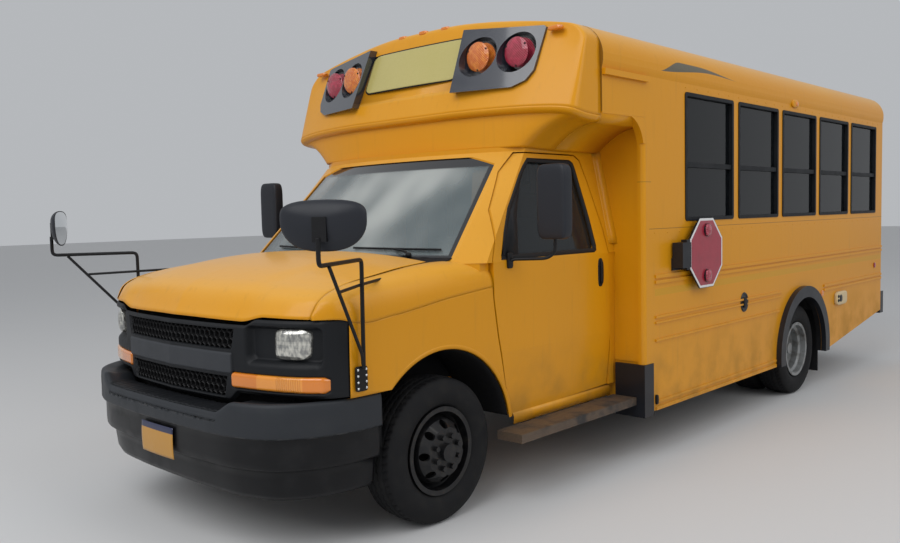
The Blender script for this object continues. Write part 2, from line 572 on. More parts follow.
def tube(name, points, radius, finish, slot, body="bus", count=12):
    """A round tube: straight runs between points, bends made by averaging the line over 36 mm twice, and rings
    square to it."""
    points = np.array(points, float)
    run = measured(points)
    at = np.linspace(0, run[-1], max(int(run[-1] / 0.006), 8))
    line = np.stack([np.interp(at, run, points[:, k]) for k in range(3)], -1)
    near = min(3, len(line) // 4)
    for _ in range(2):
        held = np.concatenate([np.repeat(line[:1], near, 0), line, np.repeat(line[-1:], near, 0)])
        line = np.mean([held[k:k + len(line)] for k in range(2 * near + 1)], 0)
    ahead = np.gradient(line, axis=0)
    ahead /= np.linalg.norm(ahead, axis=1, keepdims=True)
    one = np.cross(ahead, (0.3, 0.9, 0.31))
    one /= np.linalg.norm(one, axis=1, keepdims=True)
    two = np.cross(ahead, one)
    turn = np.linspace(0, 2 * np.pi, count, endpoint=False)[None, :, None]
    rings = line[:, None] + radius * (np.cos(turn) * one[:, None] + np.sin(turn) * two[:, None])
    rings = np.concatenate([np.repeat(line[:1, None], count, 1), rings, np.repeat(line[-1:, None], count, 1)])
    return surface(name, rings, finish, body, slot, round_v=True, flip=True)


def power(value, exponent):
    """A signed power."""
    return np.sign(value) * np.abs(value) ** exponent


def rounded(squareness, turns, rises):
    """A unit block: cosines and sines of two angles raised to a power, smaller being squarer."""
    turn = np.linspace(-np.pi, np.pi, turns, endpoint=False)[:, None]
    rise = np.linspace(-np.pi / 2, np.pi / 2, rises)[None, :]
    level = power(np.cos(rise), squareness)
    return points_at(level * power(np.cos(turn), squareness), level * power(np.sin(turn), squareness),
                     power(np.sin(rise), squareness))


def lozenge(name, centre, half, squareness, finish, slot, body="bus", count=28, instead=()):
    """A closed rounded block of given half sizes."""
    return surface(name, rounded(squareness, count, count // 2 + 1) * half + centre, finish, body, slot,
                   round_u=True, instead=instead)


def crossview(u, back, z):
    """Places on the mirror: u across it, back behind its face, turned out by 33 degrees about its post."""
    return points_at(MIRROR_AT[0] + u * np.cos(TURNED) - back * np.sin(TURNED),
                     MIRROR_AT[1] + u * np.sin(TURNED) + back * np.cos(TURNED), MIRROR_AT[2] + z)


turn, fill = circle(80, np.sin(np.linspace(0, np.pi / 2, 20)))
oval_u = 0.176 * power(np.cos(turn), 0.80)
oval_z = np.where(np.sin(turn) > 0, 0.078 * power(np.sin(turn), 0.50), 0.122 * power(np.sin(turn), 0.92))
bowl = crossview(oval_u * fill, -0.046 * (1 - fill ** 2) ** 0.6, oval_z * fill)
face = crossview(0.96 * oval_u * fill, 0.020 * (1 - fill ** 2), 0.96 * oval_z * fill)
clamp = crossview(np.array([[-0.026, -0.026, 0.026, 0.026]]), np.array([[-0.038, -0.052, -0.052, -0.038]]),
                  np.linspace(-0.085, 0.012, 8)[:, None])
pair("crossview_bowl", bowl, mirror_back, "black_plastic", round_u=True, thick=0.002,
     instead=["fixed_mirrors"])
pair("crossview_glass", face, mirror_glass, "bare_steel", flip=True, round_u=True)
pair("crossview_clamp", clamp, tube_black, "black_plastic", smooth=False, thick=0.004)
for side, hand in BOTH:
    for part, line, radius in (("post", POST, 0.0095), ("strut", STRUT, 0.008), ("arm", ARM, 0.007)):
        tube(f"crossview_{part}_{hand}", np.array(line) * (side, 1, 1), radius, tube_black, "black_paint")
    lozenge(f"crossview_arm_foot_{hand}", (side * 0.905, -0.315, 1.236), (0.018, 0.014, 0.012), 0.4,
            tube_black, "black_paint")
    plate_x, plate_y, plate_z = WING_PLATE
    lozenge(f"crossview_wing_plate_{hand}", (side * plate_x, plate_y, plate_z), (0.007, 0.033, 0.056), 0.2,
            tube_black, "black_paint")
    for k in range(8):
        bolt = (side * (plate_x + 0.0075), plate_y + (0.024 if k % 2 else -0.024),
                plate_z + 0.028 * (k // 2 - 1.5))
        lozenge(f"wing_plate_bolt_{hand}_{k}", bolt, (0.004, 0.006, 0.006), 0.8, mirror_glass, "bare_steel",
                count=10)

# Door mirrors: tall black housings with rounded corners on a bent arm from the door, glass to the rear. The
# left one swings with the driver's door, and the right one stands on the fixed kerb side.
ARM_LINE = ((1.243, 0.600, 1.420), (1.243, 0.600, 1.330), (1.200, 0.585, 1.300), (1.060, 0.540, 1.296),
            (1.012, 0.520, 1.296), (1.006, 0.510, 1.270))
gx, gz = np.meshgrid(np.linspace(-1, 1, 25), np.linspace(-1, 1, 37), indexing="ij")
pane = points_at(1.2425 + 0.078 * gx * (1 - 0.10 * gz ** 8), 0.640 - 0.004 * (gx ** 2 + gz ** 2),
                 1.595 + 0.176 * gz * (1 - 0.06 * gx ** 8))
pair("door_mirror_glass", pane, mirror_glass, "bare_steel", flip=True, body="driver_door")
DOORS = ((1, "left", "driver_door"), (-1, "right", "bus"))
for side, hand, body in DOORS:
    lozenge(f"door_mirror_shell_{hand}", (side * 1.2425, 0.598, 1.595), (0.0925, 0.039, 0.195), 0.30,
            mirror_back, "black_plastic", body, 40, ["driver_mirror"] if side > 0 else ())
    tube(f"door_mirror_arm_{hand}", np.array(ARM_LINE) * (side, 1, 1), 0.0085, tube_black, "black_paint", body)
    lozenge(f"door_mirror_foot_{hand}", (side * 1.010, 0.512, 1.290), (0.009, 0.020, 0.042), 0.35, tube_black,
            "black_plastic", body)

# Windscreen: bowed laminated glass bonded in the cab's front, with a black band printed round its edge. The
# cowl below it is a louvred black moulding that carries two wipers.
GLASS_FOOT, GLASS_RISE = 1.285, 0.605
COWL_HALF = 0.86
# Each wiper's pivot (x, y), and its blade's ends (x, z).
WIPERS = (((0.62, 0.142), (0.16, 1.352), (0.78, 1.345)), ((-0.12, 0.106), (-0.62, 1.352), (0.02, 1.345)))
screen_glass = Finish("windscreen_glass", (0.20, 0.25, 0.26), Coat_Weight=1.0, Coat_Roughness=0.02)
edge_x = 0.856 - (screen_glass.axis("Z") - 1.296) * (0.112 / 0.572)
printed = (screen_glass.axis("X").maths("ABSOLUTE") - edge_x + 0.030).within(0, 0.004)
top_band = screen_glass.axis("Z").within(1.800, 1.812)
foot_band = 1 - screen_glass.axis("Z").within(1.322, 1.334)
frit = printed.maths("MAXIMUM", top_band).maths("MAXIMUM", foot_band)
swirl = screen_glass.noise(1.5, 2, (1.2, 1.0, 0.7)).within(0.35, 0.70)
sky_tone = screen_glass.mix(swirl, (0.15, 0.19, 0.20), (0.50, 0.53, 0.51))
screen_glass.colour(frit, sky_tone, (0.010, 0.010, 0.011))
screen_glass.set("Alpha", 0.52 + swirl * 0.25 + frit * 0.45)
screen_glass.set("Roughness", 0.03 + swirl * 0.06)
wear(screen_glass, "windscreen")


def screen_y(x, z):
    """How far back the windscreen's outer face lies: a parabola across its foot, one across its head, and a
    straight line up between them."""
    rise = (z - GLASS_FOOT) / GLASS_RISE
    return (0.080 + 0.120 * (x / 0.880) ** 2) * (1 - rise) + (0.650 + 0.125 * (x / 0.775) ** 2) * rise


cx, cv = np.meshgrid(np.linspace(-COWL_HALF, COWL_HALF, 180), np.linspace(0, 1, 16), indexing="ij")
front_edge = 0.068 + 0.050 * (cx / COWL_HALF) ** 2
cowl_y = front_edge + cv * np.maximum(screen_y(cx, 1.318) - 0.002 - front_edge, 0.012)
louvres = 0.0035 * (np.sin(cowl_y * 420) > 0.2) * (np.abs(cx) < 0.72)
cowl_z = (1.334 - 0.046 * np.abs(cx / COWL_HALF) ** 2.3) * (1 - cv) + 1.322 * cv - 0.006 + louvres
surface("cowl_louvres", points_at(cx, cowl_y, cowl_z), trim, "bus", "black_plastic", thick=0.003)
for k, ((root_x, root_y), tip, end) in enumerate(WIPERS):
    bx = np.linspace(tip[0], end[0], 5)
    bz = np.linspace(tip[1], end[1], 5) + 0.012
    tube(f"wiper_blade_{k}", points_at(bx, screen_y(bx, bz) - 0.010, bz), 0.006, tube_black, "black_rubber",
         count=8)
    middle = (bx[2], screen_y(bx[2], bz[2]) - 0.018, bz[2])
    elbow = (root_x * 0.6 + middle[0] * 0.4, root_y + 0.020, 1.352)
    tube(f"wiper_arm_{k}", ((root_x, root_y, 1.335), elbow, middle), 0.006, tube_black, "black_paint", count=8)
    lozenge(f"wiper_pivot_{k}", (root_x, root_y, 1.330), (0.016, 0.016, 0.014), 0.7, tube_black,
            "black_plastic", count=14)

# Door glass, its black rubber channel and the black sail at its front corner, on both cab doors. The driver's
# door also has a tall oval pull handle. The channel is a ring offset from the window's outline (y, z).
DOOR_WINDOW = ((0.455, 1.307), (0.522, 1.433), (0.590, 1.560), (0.666, 1.652), (0.742, 1.745), (0.790, 1.795),
               (0.838, 1.838), (1.246, 1.838), (1.268, 1.825), (1.276, 1.800), (1.302, 1.650), (1.328, 1.500),
               (1.345, 1.335), (1.341, 1.313), (1.325, 1.307))
PULL_Y, PULL_Z = 1.388, 1.170
glass = mottled("tinted_glass", (0.004, 0.005, 0.006), 0.03, 0.05, 6, 3, Alpha=0.90, Specular_IOR_Level=0.30)
door_glass = mottled("clear_door_glass", (0.02, 0.024, 0.026), 0.03, 0.05, 6, 3, Alpha=0.60)
wear(glass, "window_glass", "entry_glass_front", "entry_glass_rear", "rear_door_glass")
wear(door_glass, "driver_door_glass")
rubber_seal = mottled("window_rubber", (0.012, 0.012, 0.013), 0.5, 0.2, 60, **DULL)
seam = mottled("dark_seam", (0.012, 0.012, 0.013), 0.7, 0.2, 40, **DULL)


def ring_strip(outline, away):
    """Two copies of a closed outline, pushed in and out along its normals."""
    outline = np.array(outline, float)
    ahead = np.roll(outline, -1, 0) - np.roll(outline, 1, 0)
    ahead /= np.linalg.norm(ahead, axis=1, keepdims=True)
    normal = np.stack([ahead[:, 1], -ahead[:, 0]], -1)
    normal *= np.sign(((outline - outline.mean(0)) * normal).sum(1, keepdims=True))
    return outline - away * normal, outline + away * normal


def door_x(z):
    """How far out the cab door's side stands: upright below the glass, and leaning in above its foot."""
    return 1.003 - 0.131 * np.clip((z - GLASS_FOOT) / GLASS_RISE, 0, 1)


inside, outside = ring_strip(DOOR_WINDOW, 0.012)
channel = np.stack([np.column_stack([door_x(ring[:, 1]) + lift, ring]) for ring, lift in
                    ((inside, -0.012), (inside, 0.002), (outside, 0.002), (outside, -0.002))], 1)
sail = np.array([[(0.462, 1.312), (0.60, 1.312)], [(0.590, 1.548), (0.655, 1.548)],
                 [(0.735, 1.730), (0.742, 1.730)]])
sail = np.concatenate([door_x(sail[..., 1:]) + 0.0015, sail], -1)
pair("door_window_channel", channel, rubber_seal, "black_rubber", flip=True, body="driver_door", round_u=True)
pair("door_sail", sail, trim, "black_plastic", flip=True, body="driver_door", thick=0.003)
for side, hand, body in DOORS:
    lozenge(f"door_pull_well_{hand}", (side * 1.0035, PULL_Y, PULL_Z), (0.004, 0.026, 0.086), 0.55, seam,
            "black_plastic", body)
    lozenge(f"door_pull_{hand}", (side * 1.0125, PULL_Y, PULL_Z), (0.009, 0.013, 0.070), 0.55, tube_black,
            "black_plastic", body)

# Front cap: a moulded plastic canopy over the windscreen. It carries a plain pale reflective panel between
# two glossy black pods, and small amber clearance lamps along its top and corners.
CAP_FOOT, CAP_FRONT, CAP_LEAN, CAP_BOW, CAP_JOINT = 2.135, 0.675, 0.425, 0.100, 1.090
CAP_HALF, CAP_CORNER = 1.212, 0.26
ROOF_EDGE = np.array([(1.2120, 2.135), (1.2110, 2.250), (1.2090, 2.362), (1.2075, 2.451), (1.2060, 2.480),
                      (1.1970, 2.508), (1.1860, 2.523), (1.1610, 2.550), (1.1300, 2.571), (1.0960, 2.586),
                      (1.0600, 2.595), (0.9650, 2.615), (0.8700, 2.633), (0.7740, 2.649), (0.6780, 2.663),
                      (0.5810, 2.676), (0.4850, 2.686), (0.3880, 2.695), (0.2910, 2.701), (0.1940, 2.706),
                      (0.0970, 2.709), (0.0, 2.710)])
POD_EDGE = np.array([(0.445, 2.268), (0.826, 2.268), (0.888, 2.296), (0.920, 2.335), (0.934, 2.470),
                     (0.940, 2.566), (0.440, 2.610)])
# The canopy's lower edge, rolled under: rows of (half width, how far back, height).
LIP = ((1.2120, 0.0, 2.135), (1.2110, 0.001, 2.126), (1.2070, 0.005, 2.116), (1.2000, 0.012, 2.108),
       (1.1880, 0.024, 2.103), (1.1740, 0.040, 2.100))
CLEARANCE_LAMPS = ((-0.190, 0.935, 2.690, 0.034), (0.0, 0.932, 2.694, 0.034), (0.190, 0.935, 2.690, 0.034),
                   (1.030, 0.925, 2.560, 0.046), (-1.030, 0.925, 2.560, 0.046))


def cap_y(x, z):
    """How far back the cap's leaning, bowed face lies."""
    return CAP_FRONT + CAP_BOW * x ** 2 + CAP_LEAN * (z - CAP_FOOT)


def rim(x_half, y_front, turn, squareness=CAP_CORNER):
    """A plan curve from one side round the front to the other: a super-ellipse about the cap's joint, bowed by
    a tenth of x squared where it faces ahead."""
    px = x_half * power(np.cos(turn), squareness)
    ahead = np.abs(np.sin(turn)) ** squareness
    return px, CAP_JOINT - (CAP_JOINT - y_front) * ahead + CAP_BOW * px ** 2 * ahead ** 3, ahead


def inside_edge(px, pz, edge):
    """True where places lie inside a convex outline: left of each of its sides."""
    sides = np.roll(edge, -1, 0) - edge
    cross = (sides[:, 0] * (pz[..., None] - edge[:, 1]) - sides[:, 1] * (px[..., None] - edge[:, 0]))
    return (cross > 0).all(-1)


corner = 0.03 * np.linspace(0, 1, 24) ** 2
turn = np.pi * np.sort(np.concatenate([np.linspace(0, 1, 80), corner, 1 - corner]))[None, :]
run = measured(ROOF_EDGE)
half, rise_z = (np.interp(np.linspace(0, run[-1], 110), run, ROOF_EDGE[:, k])[:, None] for k in (0, 1))
px, _, ahead = rim(1.0, CAP_FRONT, turn)
cap_x = half * px
front = CAP_FRONT + CAP_LEAN * (rise_z - CAP_FOOT)
depth_y = (CAP_JOINT - front) * (1 - (1 - half / CAP_HALF) ** 8) * ahead
sink = 0.046 * (1 - ahead ** 2) + 0.016 * px ** 4
low = np.clip(1 - (rise_z - CAP_FOOT) / 0.30, 0, 1) ** 1.5
cap_skin = points_at(cap_x, CAP_JOINT - 0.0005 - depth_y + CAP_BOW * cap_x ** 2 * ahead ** 3,
                     rise_z - sink * low)
middle = (cap_skin[:-1, :-1] + cap_skin[1:, 1:]) / 2
hidden = inside_edge(np.abs(middle[..., 0]), middle[..., 2], POD_EDGE) & (middle[..., 1] < 1.05)
# Each face starts at its second corner, which turns the diagonal that it is split along.
faces = np.roll(quads(*cap_skin.shape[:2])[~hidden], -1, -1)
piece("canopy_cap", cap_skin.reshape(-1, 3), faces, paint, "bus", thick=0.002,
      instead=["front_cap"])
sections = []
for half_x, back, z in LIP:
    px, py, ahead = rim(half_x, CAP_FRONT + back, turn)
    sections.append(points_at(px, py, z - sink)[0])
foot_x, foot_y, ahead = rim(0.885, 0.708, turn, 0.20)
foot = points_at(foot_x, foot_y, 1.900 + 0.012 * ahead)[0]
lip = sections[-1]
for w in np.linspace(0, 1, 24)[1:]:
    part = lip * (1 - w) + foot * w
    part[:, 2] = lip[:, 2] + (foot[:, 2] - lip[:, 2]) * w ** (2.0 - 0.6 * ahead[0] ** 4)
    sections.append(part)
brow = np.array(sections)
surface("canopy_brow", brow, paint, "bus", "body_yellow", thick=0.002)
for side, hand, column in ((1, "left", 0), (-1, "right", -1)):
    strip = brow[len(LIP) - 1:, column]
    strip = np.concatenate([[(side * 1.2185, strip[0, 1], 2.0945)], strip])
    surface(f"canopy_soffit_{hand}", np.stack([strip + (0, back, 0) for back in (0.0, 0.20, 0.466)], 1), paint,
            "bus", "body_yellow", flip=side > 0, thick=0.002)
filler = np.array([[(x, 1.5555, z) for z in (0.612, 1.30, 2.060)] for x in (0.862, 1.02, 1.178)])
pair("recess_filler", filler, paint, "body_yellow", flip=True, smooth=False, thick=0.002)
quarter = np.array([[(door_x(z) + lift, y, z) for lift, y in ((-0.004, 1.498), (0.001, 1.515), (0.008, 1.535),
                                                             (0.030, 1.5535))]
                    for z in np.linspace(1.34, 1.905, 12)])
pair("cab_quarter", quarter, paint, "body_yellow", thick=0.002)
sill = np.array([[(x, y, z) for x, z in ((0.930, 0.462), (0.985, 0.456), (0.992, 0.440), (0.988, 0.398))]
                 for y in (0.545, 1.0, 1.500)])
pair("rocker_panel", sill, paint, "body_yellow", thick=0.002)
sign_pale = Finish("reflective_sign", (0.55, 0.58, 0.22), Coat_Weight=0.5)
cells = sign_pale.noise(260, 1).within(0.4, 0.6)
sign_pale.colour(cells * 0.35 + sign_pale.noise(3, 3) * 0.3, (0.44, 0.38, 0.11), (0.56, 0.49, 0.20))
sign_pale.set("Roughness", 0.30 + cells * 0.12)
u, v = np.meshgrid(np.linspace(-1, 1, 61), np.linspace(-1, 1, 31), indexing="ij")
for name, wide, tall, proud, finish in (("frame", 0.417, 0.134, 0.003, seam),
                                        ("face", 0.409, 0.126, 0.0055, sign_pale)):
    sx = wide * u * (1 - 0.045 * v ** 12)
    sz = 2.468 + tall * v * (1 - 0.10 * u ** 30)
    surface(f"cap_sign_{name}", points_at(sx, cap_y(sx, sz) - proud, sz), finish, "bus", "body_yellow",
            thick=0.002)
pod_gloss = mottled("pod_gloss_black", (0.026, 0.030, 0.042), 0.12, 0.2, 10, 4, Coat_Weight=1.0,
                    Coat_Roughness=0.05)
wear(pod_gloss, "warning_pods")
for k, (x, y, z, wide) in enumerate(CLEARANCE_LAMPS):
    lozenge(f"clearance_lamp_{k}", (x, y, z), (wide, 0.024, 0.013), 0.5, amber, "amber_lens")

# Warning lenses: round prismatic domes of amber and red plastic, held by three black screws at their rims. The
# front ones sit deep in the pods, and the rear ones on the rear wall. Each row is (x, y, z, radius, facing).
AMBER_X, RED_X, LENS_Z, REAR_Y = 0.562, 0.806, 2.452, 6.106
red = Finish("red_prism_lens", (0.50, 0.010, 0.030), Coat_Weight=1.0, Coat_Roughness=0.04)
amber_dome = Finish("amber_prism_lens", (0.85, 0.24, 0.01), Coat_Weight=1.0, Coat_Roughness=0.04)
LENSES = ((AMBER_X, 0.7988, LENS_Z, 0.086, -1, amber_dome), (RED_X, 0.8512, LENS_Z, 0.086, -1, red),
          (AMBER_X, REAR_Y, 2.320, 0.098, 1, amber_dome), (RED_X, REAR_Y, 2.320, 0.098, 1, red),
          (0.980, REAR_Y, 1.290, 0.060, 1, amber_dome), (0.780, REAR_Y, 1.290, 0.098, 1, red),
          (1.080, REAR_Y, 1.090, 0.050, 1, red))
for finish, middle_x, dark, bright in ((red, RED_X, (0.30, 0.008, 0.030), (0.62, 0.030, 0.085)),
                                       (amber_dome, AMBER_X, (0.62, 0.13, 0.004), (0.92, 0.34, 0.03))):
    prisms = (finish.axis("X") * 420).maths("SINE") * (finish.axis("Z") * 420).maths("SINE")
    patches = finish.noise(45, 3).within(0.4, 0.7)
    off_x = finish.axis("X").maths("ABSOLUTE") - middle_x
    off_z = finish.axis("Z") - LENS_Z
    seat = (off_x * off_x + off_z * off_z).within(0.0074, 0.0078) * (1 - finish.axis("Y").within(1.5, 1.6))
    finish.colour(seat, finish.mix(patches * 0.6 + prisms * 0.25, dark, bright), (0.008, 0.008, 0.008))
    finish.set("Roughness", 0.10 + patches * 0.15)
    finish.bump(prisms, 0.0016)
wear(red, "red_lamps")
wear(amber_dome, "amber_lamps")
turn, fill = circle(48, np.sin(np.linspace(0, np.pi / 2, 14)))
for k, (x, y, z, radius, facing, finish) in enumerate(LENSES):
    for side, hand in BOTH:
        bowl = points_at(side * x + radius * 0.99 * fill * np.cos(turn),
                         y + facing * 0.016 * (1 - fill ** 2) ** 0.7,
                         z + radius * 0.99 * fill * np.sin(turn))
        surface(f"lens_dome_{k}_{hand}", bowl, finish, "bus", "red_lens" if finish is red else "amber_lens",
                round_u=True, flip=facing > 0)
        for n, bearing in enumerate(np.radians((30, 150, 270)) if facing < 0 else ()):
            spot = (side * x + 0.077 * np.cos(bearing), y - 0.004, z + 0.077 * np.sin(bearing))
            lozenge(f"lens_screw_{k}_{hand}_{n}", spot, (0.006, 0.006, 0.006), 0.8, seam, "black_plastic",
                    count=8)

# Passenger body: rolled steel panels riveted to hoops, in the same yellow. The finish adds the joints between
# panels, the brighter reflective stripe under the ribs and the grey tapering streak below the roof's edge.
WHEELBASE = 4.039
STREAK_Z, STREAK_START, STREAK_END = 2.385, 1.70, 2.92
body_paint = enamel("body_panel_yellow")
across_x = body_paint.axis("X").maths("ABSOLUTE")
back_y, up_z = body_paint.axis("Y"), body_paint.axis("Z")
on_side = across_x.within(1.16, 1.18)
joints = (back_y.band(1.0885, 1.0920, 0.0012) * up_z.within(2.09, 2.10)
          + up_z.band(1.4230, 1.4265, 0.0012) * on_side * back_y.within(1.59, 1.60)
          + up_z.band(1.7085, 1.7115, 0.0012) * back_y.band(1.30, 1.62))
stripe = up_z.band(1.011, 1.055, 0.0015) * on_side * back_y.within(1.655, 1.66)
low_edge = STREAK_Z + back_y.within(STREAK_START, 2.40) * 0.046 - back_y.within(2.40, STREAK_END) * 0.015
top_edge = STREAK_Z + back_y.within(STREAK_START, 1.98) * 0.078 - back_y.within(2.20, STREAK_END) * 0.047
streak = (up_z - low_edge).within(0, 0.002) * (top_edge - up_z).within(0, 0.002) * across_x.within(1.10, 1.12)
base = Value(body_paint, body_paint.shader.inputs["Base Color"].links[0].from_socket)
striped = body_paint.mix(stripe * 0.85, base, (0.60, 0.30, 0.006))
streaked = body_paint.mix(streak * back_y.band(STREAK_START, STREAK_END), striped, (0.125, 0.110, 0.075))
pale_top = up_z.within(2.604, 2.609) * back_y.within(1.60, 1.61)
chalked = body_paint.mix(body_paint.noise(4, 5).within(0.3, 0.8), (0.66, 0.63, 0.54), (0.50, 0.46, 0.38))
roofed = body_paint.mix(pale_top, streaked, chalked)
from_y, from_z = back_y - WHEELBASE, up_z - WHEEL_Z
in_arch = 1 - (from_y * from_y + from_z * from_z).within(0.262, 0.276)
jointed = body_paint.mix(joints * 0.75, roofed, (0.10, 0.055, 0.012))
body_paint.colour(in_arch * (1 - across_x.within(1.2135, 1.2165)), jointed, (0.010, 0.010, 0.011))
wear(body_paint, "side_wall_left", "side_wall_right", "roof", "rear_wall", "cab_surround", "entry_leaf_front",
     "entry_leaf_rear", "rear_door")

# Small fittings of the sides: fuel filler cup, cream charging socket box, reflectors, marker lamps and the
# lamp over the second window. Each is screwed or riveted to the panel.
BODY_SIDE = 1.2195
cup = mottled("filler_cup", (0.010, 0.010, 0.012), 0.25, 0.2, 40)
cream = mottled("cream_socket_box", (0.62, 0.48, 0.26), 0.35, 0.2, 20, 3, Coat_Weight=0.3)
turn, fill = circle(48, [1.16, 1.10, 1.02, 0.94, 0.90, 0.6, 0.0])
depth = np.array([[0.0, 0.007, 0.009, 0.006, 0.002, 0.0015, 0.0015]])
cup_skin = points_at(BODY_SIDE + depth, 2.928 + 0.052 * fill * np.cos(turn),
                     0.860 + 0.062 * fill * np.sin(turn))
surface("fuel_filler_cup", cup_skin, cup, "bus", "black_plastic", round_u=True, flip=True)
lozenge("fuel_filler_cap", (1.226, 2.930, 0.856), (0.010, 0.030, 0.036), 0.6, tube_black, "black_plastic")
lozenge("socket_box", (1.232, 4.905, 0.722), (0.020, 0.130, 0.060), 0.45, cream, "body_yellow", count=36)
for k, (y, z, radius) in enumerate(((4.855, 0.722, 0.034), (4.800, 0.705, 0.014), (4.800, 0.742, 0.014))):
    lozenge(f"socket_outlet_{k}", (1.248, y, z), (0.010, radius, radius), 0.8, cup, "black_plastic", count=20)
# Each row is (name, place, half sizes, squareness, finish, slot, count).
FITTINGS = (("side_reflector", (1.222, 4.480, 0.797), (0.005, 0.028, 0.028), 0.8, amber, "amber_lens", 20),
            ("rear_marker", (1.224, 5.869, 0.956), (0.008, 0.020, 0.026), 0.7, red, "red_lens", 20),
            ("side_lamp_shell", (1.226, 3.843, 2.352), (0.012, 0.060, 0.030), 0.6, paint, "body_yellow", 24),
            ("side_lamp_lens", (1.236, 3.858, 2.350), (0.008, 0.026, 0.018), 0.7, amber, "amber_lens", 20))
for name, (x, y, z), half_sizes, squareness, finish, slot, count in FITTINGS:
    for side, hand in BOTH:
        lozenge(f"{name}_{hand}", (side * x, y, z), half_sizes, squareness, finish, slot, count=count)
lozenge("corner_hook", (1.225, 1.664, 0.368), (0.010, 0.012, 0.030), 0.5, tube_black, "black_paint")

# Rivets: rows of small flattened heads along the rails, sills and window posts of both sides. Each head is a
# low dome of six sides, and all of them are one mesh. The rows are (z, first y, last y).
RIVET_ROWS = ((1.400, 1.66, 6.03), (0.345, 1.70, 3.45), (2.316, 2.06, 6.03))
RIVET_GAP, ENTRY_BACK = 0.155, 2.52
HEAD_RINGS = ((0.0060, 0.0), (0.0042, 0.0022), (0.0, 0.0028))
spots = np.array([(y, z) for z, y0, y1 in RIVET_ROWS for y in np.arange(y0, y1, RIVET_GAP)])
hexagon = np.radians(np.arange(6) * 60)
for side, hand in BOTH:
    kept = spots if side > 0 else spots[spots[:, 0] > ENTRY_BACK]
    rings = [points_at(side * (BODY_SIDE + out), kept[:, :1] + reach * np.cos(hexagon),
                       kept[:, 1:] + reach * np.sin(hexagon)) for reach, out in HEAD_RINGS]
    faces = six_sided(len(kept))
    piece(f"side_rivets_{hand}", np.stack(rings, 1).reshape(-1, 3), faces if side > 0 else faces[:, ::-1],
          paint, "bus")

# Stop arm: a red octagon with a white rim and two dark red lamps, screwed to the outer face of its black
# case. Each sheet is an eight-sided disc about the sign's middle.
STOP_Y, STOP_Z, STOP_FACE = 2.242, 1.252, 1.270
sign_red = mottled("stop_red", (0.30, 0.012, 0.030), 0.25, 0.2, 30, 3, Coat_Weight=0.6)
sign_red.colour(sign_red.noise(12, 4).within(0.4, 0.8) * 0.5, (0.34, 0.012, 0.034), (0.24, 0.014, 0.03))
sign_white = mottled("reflective_white", (0.72, 0.72, 0.72), 0.3, 0.1, 200, 1)
turn, fill = circle(8, [1.0, 0.995, 0.5, 0.0])
turn = turn + np.pi / 8
for name, flat, lift, finish, slot in (("rim", 0.2265, 0.0012, sign_white, "clear_lens"),
                                       ("face", 0.2120, 0.0020, sign_red, "red_lens")):
    reach = flat / np.cos(np.pi / 8) * fill
    octagon = points_at(STOP_FACE + np.array([[0.0, lift, lift, lift]]), STOP_Y + reach * np.cos(turn),
                        STOP_Z + reach * np.sin(turn))
    surface(f"stop_{name}", octagon, finish, "stop_arm", slot, round_u=True, smooth=False, flip=True)
for k, rise in enumerate((-0.150, 0.150)):
    lozenge(f"stop_lamp_{k}", (1.283, STOP_Y, STOP_Z + rise), (0.012, 0.040, 0.040), 0.8, red, "red_lens",
            "stop_arm")

# Tyres: ribbed all-weather truck tyres. The outline is a rounded band, cut by wavy grooves and cross sipes in
# the tread, with moulded rings on the walls; the beads meet the rim. All are worked out about the axle.
TYRE_R, TREAD_HALF, TREAD_DEPTH = 0.368, 0.080, 0.0095
WALL_LINE = np.array([(-0.084, 0.2245), (-0.098, 0.240), (-0.109, 0.262), (-0.1125, 0.288), (-0.109, 0.318),
                      (-0.101, 0.340), (-0.094, 0.353), (-0.084, 0.3605)])
BEAD_LINE = ((0.070, 0.212), (0.066, 0.230), (-0.066, 0.230), (-0.070, 0.212))
# Each row is (name, CAD node, body, x, y). The node stands for both tyres of a rear pair.
TYRES = (("tyre_front_left_outer", "tyre_front_left", "front_wheel_left", 0.8735, 0.0),
         ("tyre_front_right_outer", "tyre_front_right", "front_wheel_right", -0.8735, 0.0),
         ("tyres_rear_left_outer", "tyres_rear_left", "rear_wheels_left", 1.075, WHEELBASE),
         ("tyres_rear_left_inner", None, "rear_wheels_left", 0.819, WHEELBASE),
         ("tyres_rear_right_outer", "tyres_rear_right", "rear_wheels_right", -1.075, WHEELBASE),
         ("tyres_rear_right_inner", None, "rear_wheels_right", -0.819, WHEELBASE))
rubber = Finish("dusty_rubber", (0.022, 0.022, 0.024), **DULL)
grime = rubber.noise(14, 5).within(0.40, 0.80)
rubber.colour(grime * 0.5, (0.006, 0.006, 0.007), (0.028, 0.027, 0.025))
rubber.set("Roughness", 0.70 + grime * 0.2)
rubber.bump(rubber.noise(240, 3), 0.0008)
tread_x = np.linspace(-TREAD_HALF, TREAD_HALF, 41)
tread = np.column_stack([tread_x, TYRE_R - 0.0075 * (tread_x / 0.084) ** 2])
outline = np.concatenate([WALL_LINE, tread, WALL_LINE[::-1] * (-1, 1), BEAD_LINE])
spin = np.linspace(0, 2 * np.pi, 360, endpoint=False)[:, None]
ox, radii = outline[None, :, 0], outline[None, :, 1]
wave = 0.0035 * np.sin(spin * 60)
grooves = sum(step(0.0042 - np.abs(ox - g - wave), 0, 0.0015) for g in (-0.052, -0.018, 0.018, 0.052))
sipes = step(0.25 - np.abs(np.mod(spin * 60 / np.pi + ox * 22, 2) - 1), 0, 0.10) * (np.abs(ox) > 0.056)
on_tread = (radii > 0.359) & (np.abs(ox) < 0.083)
rings = 0.0012 * ((np.abs(radii - 0.272) < 0.004) | (np.abs(radii - 0.330) < 0.010)) * np.sign(ox)
cut = radii - np.where(on_tread, TREAD_DEPTH * np.clip(grooves + 0.8 * sipes, 0, 1), 0)
